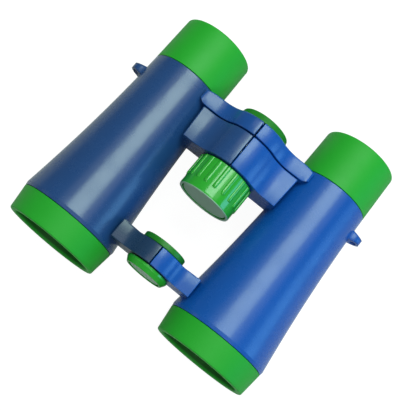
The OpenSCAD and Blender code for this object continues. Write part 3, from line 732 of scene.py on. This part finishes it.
def hinge_ring(ring_r, room_r, bore_r, y0, y1):
    """The shell of a half's own ring round the hinge pin. On its own side it is wider than
    the room for the other half's ring, so that it grows out of the wing."""
    free = ring(ring_r, 0.0, HINGE_Z, 180.0 - FOLD_NOTCH, 360.0, 4.0)
    rooted = ring(room_r + 0.7, 0.0, HINGE_Z, 2.5, 180.0 - FOLD_NOTCH - 4.0, 4.0)
    bore = ring(bore_r, 0.0, HINGE_Z, step=6.0)
    return slab(np.concatenate([free, rooted]), y0, y1, 0.15, 0.15, [bore])


def mirrored(shells, sign):
    """The same shells for the other side of the hinge."""
    return [(spots * np.array((sign, 1.0, 1.0)), faces) for spots, faces in shells]


BLOCK = (61.05, 74.95)
BLOCK_END, BLOCK_LEAN = 22.7, 0.9
POCKET = 67.15
BLOCK_RINGS = {"left": (BLOCK[0], 63.95), "right": (64.25, POCKET)}
whole, upper, lower, channel = wing(13.1, 14.5, BLOCK_END, **REAR_SHAPE)
block = joined(
    slab(whole, BLOCK[0], POCKET, 0.35, 0.0, far=[channel]),
    slab(upper, POCKET, BLOCK[1], 0.0, 0.35, near=[]),
    slab(lower, POCKET, BLOCK[1], 0.0, 0.35, near=[]),
)
# The outer end leans in towards the front.
x, y = block[0][:, 0], block[0][:, 1]
outward = np.clip((x - 17) / (BLOCK_END - 17), 0, 1)
x -= BLOCK_LEAN * outward * (BLOCK[1] - y) / (BLOCK[1] - BLOCK[0])
for side, sign in SIDES.items():
    own_ring = hinge_ring(OWN_RING_R, ROOM_R, SHAFT_BORE, *BLOCK_RINGS[side])
    piece(
        f"block_{side}",
        f"{side}_half",
        BLUE if sign > 0 else SHADED_BLUE,
        mirrored([block, own_ring], sign),
        [f"bridge_block_{side}"],
    )


# Rear bridge, plate. A thinner plate behind the block, parted from it by a narrow groove,
# reaches further over the barrel and ends in a soft corner. It has a low round boss. The
# right half is in a darker copy of the blue, painted shade.

# A darker copy of the blue, painted shade for the plate's right half.
PLATE_SHADED_BLUE = satin_plastic(
    "plate_blue_painted_shade", (0.006, 0.062, 0.255), (0.009, 0.072, 0.295), 0.25
)
PLATE = (75.5, 81.9)
PLATE_END = 26.2
FRONT_BEND, REAR_BEND = (1.8, 3.9), (0.8, 6.0)
BOSS_R, BOSS = 11.4, (81.1, 82.1)
PLATE_RINGS = {"left": (78.8, BOSS[1]), "right": (PLATE[0], 78.5)}


def bend(x, depth, length):
    """How far a face of the plate is bent in: a parabola over the last stretch of it."""
    return depth * np.clip((x - PLATE_END) / length + 1, 0, 1) ** 2


plate_wing = wing(13.3, 14.3, PLATE_END, **REAR_SHAPE, edge=1.2, seam=0.3)[0]
plate = slab(plate_wing, *PLATE, 0.35, 0.6)
x, y = plate[0][:, 0], plate[0][:, 1]
y[:] = np.maximum(y, PLATE[0] + bend(x, *FRONT_BEND))
y -= bend(x, *REAR_BEND) * (y > np.mean(PLATE) + 0.6)
boss_outline = np.concatenate(
    [
        ring(BOSS_R, 0.0, HINGE_Z, 1.0, 180.0 - FOLD_NOTCH, 2.5),
        ring(ROOM_R, 0.0, HINGE_Z, 180.0 - FOLD_NOTCH, 1.6, 4.0),
    ]
)
boss = slab(boss_outline, *BOSS, 0.0, 0.15)
for side, sign in SIDES.items():
    own_ring = hinge_ring(OWN_RING_R, ROOM_R, SHAFT_BORE, *PLATE_RINGS[side])
    piece(
        f"plate_{side}",
        f"{side}_half",
        BLUE if sign > 0 else PLATE_SHADED_BLUE,
        mirrored([plate, boss, own_ring], sign),
        [f"bridge_plate_{side}"],
    )


# Front bridge. Two shorter arms of the same shape and plastic, with crisp edges, that meet
# over the front pin and stand on the widest part of the barrels. The right arm's blue is a
# darker, greyer copy, painted shade.

# A darker, greyer copy of the blue, painted shade for the right arm.
ARM_SHADED_BLUE = satin_plastic("arm_blue_painted_shade", (0.008, 0.034, 0.085), (0.010, 0.041, 0.105), 0.30)

ARM = (14.4, 22.0)
ARM_RING_R, ARM_ROOM_R, PIN_BORE = 6.0, 6.3, 2.55
ARM_RINGS = {"left": (ARM[0], 18.05), "right": (18.35, ARM[1])}
arm_outline = wing(
    10.6, 13.9, 18.2, sweep_r=8.0, under=2.8, foot_r=19.4, room_r=ARM_ROOM_R
)[0]
arm = slab(arm_outline, *ARM, 0.28, 0.28)
# The rear face spreads by half a millimetre where it meets the barrel.
x, y = arm[0][:, 0], arm[0][:, 1]
y += 0.5 * np.clip((x - 15.2) / 3, 0, 1) ** 2 * (y > 20)
for side, sign in SIDES.items():
    own_ring = hinge_ring(ARM_RING_R, ARM_ROOM_R, PIN_BORE, *ARM_RINGS[side])
    piece(
        f"arm_{side}",
        f"{side}_half",
        BLUE if sign > 0 else ARM_SHADED_BLUE,
        mirrored([arm, own_ring], sign),
        [f"front_arm_{side}"],
    )


# Screws. Small steel screws hold both bridges to the barrels. They are put in from inside
# the barrels, before the lenses.

for side in SIDES:
    for node in ("rear_screw", "front_screw"):
        carried(f"{node}_{side}", STEEL)


# Focusing shaft. A steel rod through the rear bridge, which is its hinge pin too, held by
# a clip behind the bridge.

for node in ("focus_shaft", "shaft_clip"):
    carried(node, STEEL)


# Focusing knob. Bright green and glossier than the cups, with raised ribs that run out to
# the rear and end in a round in front, before a plain band. A flat pale disc is set into
# its front face. Round it sits a thin ring of the disc's pale colour, partly a flange of the
# disc and partly a painted highlight on the knob's front edge.

BRIGHT = satin_plastic(
    "green_gloss", (0.018, 0.330, 0.022), (0.026, 0.380, 0.030), 0.17, 0.8, 1.55
)
DISC = satin_plastic(
    "grey_green_matt", (0.230, 0.440, 0.285), (0.265, 0.485, 0.325), 0.38, 1.6
)

KNOB = (46.75, 60.75)
DRUM_R = 11.5
RECESS_R, RECESS_Y = 10.35, 48.15
DISC_R, DISC_Y = 9.9, 47.0
RIBS = 18
RIB_TURN = radians(2.2)
RIB_HALF = 0.9
RIB_HEIGHT = 0.5
RIB_FRONT = KNOB[0] + 3.8

side_line = rounded(
    [
        (0.0, RECESS_Y, 0),
        (RECESS_R, RECESS_Y, 0.1),
        (RECESS_R, KNOB[0], 0.25),
        (DRUM_R, KNOB[0], 0.45),
        (DRUM_R, KNOB[1], 0.4),
        (SHAFT_BORE, KNOB[1], 0.2),
        (SHAFT_BORE, RECESS_Y + 2.0, 0),
        (0.0, RECESS_Y + 2.0, 0),
    ],
    closed=False,
)
# Distances from a rib's outline, close together where its side is steep.
rise = np.array([0.0, 0.02, 0.06, 0.12, 0.22, 0.38, 0.6, 0.9])
stations = np.concatenate(
    [
        np.linspace(KNOB[0] + 0.8, RIB_FRONT - 0.1, 4),
        RIB_FRONT + rise,
        np.linspace(RIB_FRONT + 1.5, KNOB[1] - 0.8, 8),
    ]
)
on_drum = np.flatnonzero(side_line[:, 0] > DRUM_R - 1e-6)
knob_line = np.concatenate(
    [
        side_line[: on_drum[0] + 1],
        np.stack([np.full(len(stations), DRUM_R), stations], -1),
        side_line[on_drum[-1] :],
    ]
)
across = np.concatenate([[1.8, 1.5, 1.15, 0.96], RIB_HALF - rise])
across = np.concatenate([-across, across[-2::-1]]) / DRUM_R
knob_angles = (RIB_TURN + np.arange(RIBS)[:, None] * 2 * np.pi / RIBS + across).ravel()


def rib_height(angle, y):
    """Height of the ribs over the drum: half an ellipse across, a half round in front, and
    a fall to nothing just before the rear edge."""
    pitch = 2 * np.pi / RIBS
    aside = ((angle - RIB_TURN + pitch / 2) % pitch - pitch / 2) * DRUM_R
    before = np.minimum(y - RIB_FRONT - RIB_HALF, 0.0)
    share = np.clip(1 - np.hypot(aside, before) / RIB_HALF, 0, 1)
    rear = np.clip((KNOB[1] - 0.1 - y) / 0.4, 0, 1)
    return RIB_HEIGHT * np.sqrt(share * (2 - share) * rear)


r, y = knob_line[:, 0:1], knob_line[:, 1:2]
outer_part = (r > DRUM_R - 0.35) & (y > KNOB[0] + 1.0)
r = r + np.where(outer_part, rib_height(knob_angles[None, :], y), 0.0)
knob_spots = np.stack(
    [
        r * np.sin(knob_angles),
        y + 0 * knob_angles,
        HINGE_Z + r * np.cos(knob_angles),
    ],
    -1,
)
knob_faces = grid_faces(len(knob_line), len(knob_angles), close_rows=False)
piece("knob", "knob", BRIGHT, [(knob_spots, knob_faces)], ["focus_knob"])


def round_plug(name, body, finish, outline, node):
    """A piece whose outline runs from the hinge axis out and back to it, turned round."""
    spots = turned_round(outline, 0.0, HINGE_Z, ROUND[None, :])
    faces = grid_faces(len(outline), len(ROUND), close_rows=False)
    piece(name, body, finish, [(spots, faces)], [node])


disc_outline = rounded(
    [(0.0, 47.1, 0), (DISC_R, DISC_Y, 0.25), (DISC_R, RECESS_Y, 0.2), (0.0, RECESS_Y, 0)],
    closed=False,
)
round_plug("knob_face", "knob", DISC, disc_outline, "knob_disc")
# The pale ring is partly the disc's flange and partly a painted highlight on the front edge.
RIM_R, RIM = (10.4, 11.4), (46.6, 47.0)
rim_outline = rounded(
    [
        (RIM_R[0], RIM[0], 0.12),
        (RIM_R[1], RIM[0], 0.2),
        (RIM_R[1], RIM[1], 0.05),
        (RIM_R[0], RIM[1], 0.05),
    ]
)
rim_spots = turned_round(rim_outline, 0.0, HINGE_Z, ROUND[None, :])
rim_faces = grid_faces(len(rim_outline), len(ROUND))
piece("knob_rim_painted_highlight", "knob", DISC, [(rim_spots, rim_faces)])


# Rear cap. A green cap with a soft edge, in the darker green of painted shade, covers the
# end of the shaft, on two pegs that go into the left half of the plate.

# A darker copy of the green, painted shade on the caps.
SHADED_GREEN = satin_plastic(
    "green_painted_shade", (0.007, 0.174, 0.008), (0.011, 0.205, 0.012), 0.42, ior=1.42
)
CAP_SEAT, CAP_FLOOR, CAP_TOP = 82.4, 84.1, 85.3
CLIP_ROOM_R = 7.0
PEG_R, PEG_AWAY, PEG = 0.9, 8.6, (79.4, 82.7)
cap_outline = rounded(
    [
        (CLIP_ROOM_R, CAP_SEAT, 0.2),
        (11.0, CAP_SEAT, 0.3),
        (10.3, CAP_TOP, 0.5),
        (0.0, CAP_TOP, 0),
        (0.0, CAP_FLOOR, 0),
        (CLIP_ROOM_R, CAP_FLOOR, 0.3),
    ]
)
collar("end_cap", "left", cap_outline, SHADED_GREEN, "rear_cap", x=0.0, z=HINGE_Z)
pegs = []
for angle in (52.0, 128.0):
    spot = ring(PEG_AWAY, 0.0, HINGE_Z, angle, angle + 1.0, 1.0)[0]
    pegs.append(slab(ring(PEG_R, *spot, step=15.0), *PEG, 0.2, 0.0))
piece("end_cap_pegs", "left_half", SHADED_GREEN, pegs)


# Front caps. A dished green cap with a pale disc in it covers the front of the hinge, and a
# plain one, in the darker green of painted shade, the back. The pin between them is steel.

CAP_R, STUB_R = 9.1, 5.7
DISH_R, DISH_LIP, DISH_FLOOR, DISH_BACK = 7.2, 11.2, 12.3, 14.1
PALE_R, PALE_FRONT = 6.6, 11.5
BACK_CAP = (22.3, 24.6)
dish_outline = rounded(
    [
        (0.0, DISH_FLOOR, 0),
        (DISH_R, DISH_FLOOR, 0.1),
        (DISH_R, DISH_LIP, 0.15),
        (DISH_R + 0.7, DISH_LIP, 0.25),
        (CAP_R, DISH_BACK - 1.0, 0.25),
        (CAP_R, DISH_BACK, 0.3),
        (STUB_R, DISH_BACK, 0.1),
        (STUB_R, ARM[0], 0),
        (0.0, ARM[0], 0),
    ],
    closed=False,
)
round_plug("dished_cap", "left_half", BRIGHT, dish_outline, "front_cap")
pale_outline = rounded(
    [
        (0.0, PALE_FRONT, 0),
        (PALE_R, PALE_FRONT, 0.3),
        (PALE_R, DISH_FLOOR, 0.1),
        (0.0, DISH_FLOOR, 0),
    ],
    closed=False,
)
round_plug(
    "cap_face", "left_half", DISC, pale_outline, "front_cap_disc"
)
back_outline = rounded(
    [
        (0.0, BACK_CAP[0], 0),
        (CAP_R, BACK_CAP[0], 0.3),
        (CAP_R, BACK_CAP[1], 0.45),
        (0.0, BACK_CAP[1], 0),
    ],
    closed=False,
)
round_plug("plain_cap", "left_half", SHADED_GREEN, back_outline, "front_back_cap")
carried("front_pin", STEEL)


# Floor, light and camera. A white sheet on a table, three soft boxes above and behind, one
# in front, one on each side, and the camera almost straight above.

FLOOR_HALF = 2.0


def white_floor():
    """Matt white that also glows, mostly for the camera and a little in reflections, so
    that it shows as white and still holds a soft shadow."""
    f = Finish("white_floor")
    path = f.tree.nodes.new("ShaderNodeLightPath").outputs
    seen = Number(f, path["Is Camera Ray"]) + Number(f, path["Is Transmission Ray"])
    paper = f.noise(0.003, 3.0, 0.6)
    matt = f.node(
        "ShaderNodeBsdfDiffuse",
        {},
        {"Color": f.between((0.60, 0.60, 0.60), (0.64, 0.64, 0.64), paper)},
    )
    glow = f.node("ShaderNodeEmission", {}, {"Color": (1.0, 1.0, 1.0), "Strength": 1.22})
    share = seen * 0.78 + Number(f, path["Is Glossy Ray"]) * 0.06
    mixed = f.node("ShaderNodeMixShader", {}, {"Fac": share, 1: matt, 2: glow})
    out = f.tree.nodes.new("ShaderNodeOutputMaterial")
    f.tree.links.new(mixed.socket, out.inputs["Surface"])
    return f.material


floor_mesh = bpy.data.meshes.new("floor")
ways = ((-1, -1), (1, -1), (1, 1), (-1, 1))
floor_mesh.from_pydata(
    [(x * FLOOR_HALF, y * FLOOR_HALF, 0.0) for x, y in ways], [], [(0, 1, 2, 3)]
)
floor_mesh.materials.append(white_floor())
floor = bpy.data.objects.new("floor", floor_mesh)
bpy.context.scene.collection.objects.link(floor)


def soft_box(name, direction, distance, width, length, radiance, colour=(1.0, 1.0, 1.0)):
    """A rectangular lamp that faces the binoculars, from a direction in X, Y and Z. Its
    power is its radiance times pi times its area."""
    light = bpy.data.lights.new(name, "AREA")
    light.shape = "RECTANGLE"
    light.size, light.size_y = width, length
    light.energy = radiance * np.pi * width * length
    light.color = colour
    lamp = bpy.data.objects.new(name, light)
    toward = Vector(direction).normalized()
    turn = toward.to_track_quat("Z", "Y").to_matrix().to_4x4()
    lamp.matrix_world = Matrix.Translation(toward * distance) @ turn
    bpy.context.scene.collection.objects.link(lamp)


GREENISH, COOL = (0.75, 1.0, 0.86), (0.28, 0.78, 1.32)
soft_box("key", (0.05, 0.43, 0.88), 0.65, 0.40, 0.32, 6.8, GREENISH)
soft_box("wide", (0.05, 0.46, 0.86), 0.70, 0.95, 0.24, 1.1)
soft_box("top", (0.0, -0.05, 1.0), 0.72, 0.80, 0.24, 1.3)
soft_box("front", (0.33, -0.56, 0.76), 0.65, 0.30, 0.22, 4.2)
soft_box("side", (0.95, 0.15, 0.28), 0.65, 0.32, 0.28, 3.6, COOL)
soft_box("left", (-0.78, -0.46, 0.40), 0.70, 0.40, 0.18, 1.0)

world = bpy.data.worlds.new("room")
world.use_nodes = True
tree = world.node_tree
tree.nodes.clear()
path = tree.nodes.new("ShaderNodeLightPath").outputs
strength = 0.12
extra = {"Is Camera Ray": 0.88, "Is Transmission Ray": 0.88, "Is Glossy Ray": 0.05}
for ray, more in extra.items():
    add = tree.nodes.new("ShaderNodeMath")
    add.operation = "MULTIPLY_ADD"
    tree.links.new(path[ray], add.inputs[0])
    add.inputs[1].default_value = more
    if isinstance(strength, float):
        add.inputs[2].default_value = strength
    else:
        tree.links.new(strength, add.inputs[2])
    strength = add.outputs[0]
backdrop = tree.nodes.new("ShaderNodeBackground")
backdrop.inputs["Color"].default_value = (1.0, 1.0, 1.0, 1.0)
tree.links.new(strength, backdrop.inputs["Strength"])
world_out = tree.nodes.new("ShaderNodeOutputWorld")
tree.links.new(backdrop.outputs[0], world_out.inputs["Surface"])
bpy.context.scene.world = world
bpy.context.scene.view_settings.view_transform = "Standard"

SENSOR = 36.0
FOCAL_PIXELS, PHOTO_PIXELS = 900.0, 411.0
camera_data = bpy.data.cameras.new("camera")
camera_data.sensor_fit = "AUTO"
camera_data.sensor_width = SENSOR
camera_data.lens = SENSOR * FOCAL_PIXELS / PHOTO_PIXELS
camera_data.clip_end = 10.0
camera = bpy.data.objects.new("camera", camera_data)
right = Vector((0.7783, 0.62667, 0.03907))
down = Vector((0.6233, -0.76379, -0.16774))
ahead = Vector((-0.0752, 0.15488, -0.98502))
stand = Vector((0.02554, -0.05812, 0.36174))
turned = Matrix((right, -down, -ahead)).transposed().to_4x4()
camera.matrix_world = Matrix.Translation(stand) @ turned
bpy.context.scene.collection.objects.link(camera)
bpy.context.scene.camera = camera
